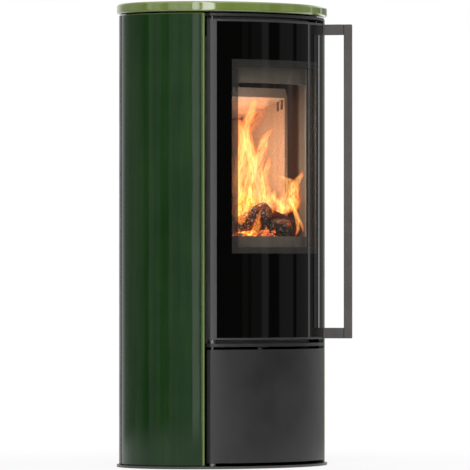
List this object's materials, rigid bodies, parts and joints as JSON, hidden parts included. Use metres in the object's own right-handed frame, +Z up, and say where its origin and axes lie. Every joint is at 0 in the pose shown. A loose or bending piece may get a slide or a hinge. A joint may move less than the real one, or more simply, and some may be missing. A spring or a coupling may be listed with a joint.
{
  "type": "tiled_stove",
  "caption": "Tall oval log-burning stove with green glazed tiles on its sides and top, a curved glass fire door with a full-height bar handle, and a log compartment below",
  "frame": {"origin": "middle of the whole part's box in plan, on the floor: the middle of the oval before its back is cut off flat", "axes": "+Z up, -Y out through the fire door, +X to the viewer's right when facing the door"},
  "size_m": [0.5918, 0.4526, 1.15],
  "materials": {
    "dark_green_glaze": "gloss",
    "olive_glaze": "gloss",
    "anthracite_paint": "satin",
    "handle_paint": "satin",
    "firebox_steel": "matte",
    "printed_glass": "gloss",
    "clear_glass": "gloss",
    "bright_steel": "brushed",
    "cast_iron": "matte",
    "vermiculite": "matte",
    "seal_rope": "matte",
    "pad_rubber": "matte"
  },
  "bodies": {
    "stove_body": {"base_plate": "anthracite_paint", "levelling_screw_1": "bright_steel", "levelling_screw_2": "bright_steel", "levelling_screw_3": "bright_steel", "levelling_screw_4": "bright_steel", "middle_plate": "anthracite_paint", "top_plate": "anthracite_paint", "left_side_frame": "anthracite_paint", "right_side_frame": "anthracite_paint", "cupboard_back": "anthracite_paint", "rear_casing": "anthracite_paint", "left_tile": "dark_green_glaze", "right_tile": "dark_green_glaze", "left_tile_bracket": "bright_steel", "right_tile_bracket": "bright_steel", "top_tile": "olive_glaze", "top_tile_pad_1": "pad_rubber", "top_tile_pad_2": "pad_rubber", "top_tile_pad_3": "pad_rubber", "top_tile_pad_4": "pad_rubber", "firebox_left_wall": "firebox_steel", "firebox_right_wall": "firebox_steel", "firebox_rear_wall": "firebox_steel", "firebox_floor": "firebox_steel", "firebox_roof": "firebox_steel", "firebox_front_frame": "firebox_steel", "ash_shelf": "firebox_steel", "flue_spigot": "firebox_steel", "lining_left": "vermiculite", "lining_right": "vermiculite", "lining_rear": "vermiculite", "baffle": "vermiculite", "hearth_brick_left": "vermiculite", "hearth_brick_right": "vermiculite", "hearth_brick_front": "vermiculite", "hearth_brick_rear": "vermiculite", "grate": "cast_iron", "air_guide_front": "bright_steel", "air_guide_rear": "bright_steel", "hinge_pin_bottom": "bright_steel", "hinge_pin_middle": "bright_steel", "hinge_pin_top": "bright_steel", "magnet_catch": "cast_iron", "latch_bracket": "bright_steel"},
    "fire_door": {"door_frame": "anthracite_paint", "door_glass": "printed_glass", "inner_pane": "clear_glass", "pane_retainer_left": "bright_steel", "pane_retainer_right": "bright_steel", "door_seal": "seal_rope", "latch_striker": "bright_steel", "handle_bar": "handle_paint", "handle_arm_bottom": "handle_paint", "handle_arm_top": "handle_paint"},
    "lower_door": {"lower_door_panel": "anthracite_paint", "lower_door_rail_bottom": "anthracite_paint", "lower_door_rail_top": "anthracite_paint"},
    "air_slider": {"air_slider": "bright_steel"},
    "latch_roller": {"latch_roller": "bright_steel"},
    "ash_pan": {"ash_pan": "bright_steel"}
  },
  "joints": [
    {"name": "fire_door_hinge", "type": "hinge", "parent": "stove_body", "child": "fire_door", "pos_m": [-0.18874, -0.15272, 0.7115], "axis": [0, 0, -1], "range_deg": [0, 105]},
    {"name": "lower_door_hinge", "type": "hinge", "parent": "stove_body", "child": "lower_door", "pos_m": [-0.18874, -0.15272, 0.1535], "axis": [0, 0, -1], "range_deg": [0, 100]},
    {"name": "air_slide", "type": "slide", "parent": "stove_body", "child": "air_slider", "axis": [1, 0, 0], "range_m": [0, 0.03]},
    {"name": "latch_roller_spin", "type": "hinge", "parent": "stove_body", "child": "latch_roller", "pos_m": [0.18171, -0.13468, 0.7115], "axis": [0, 0, 1], "continuous": true},
    {"name": "ash_pan_slide", "type": "slide", "parent": "stove_body", "child": "ash_pan", "axis": [0, -1, 0], "range_m": [0, 0.045]}
  ]
}
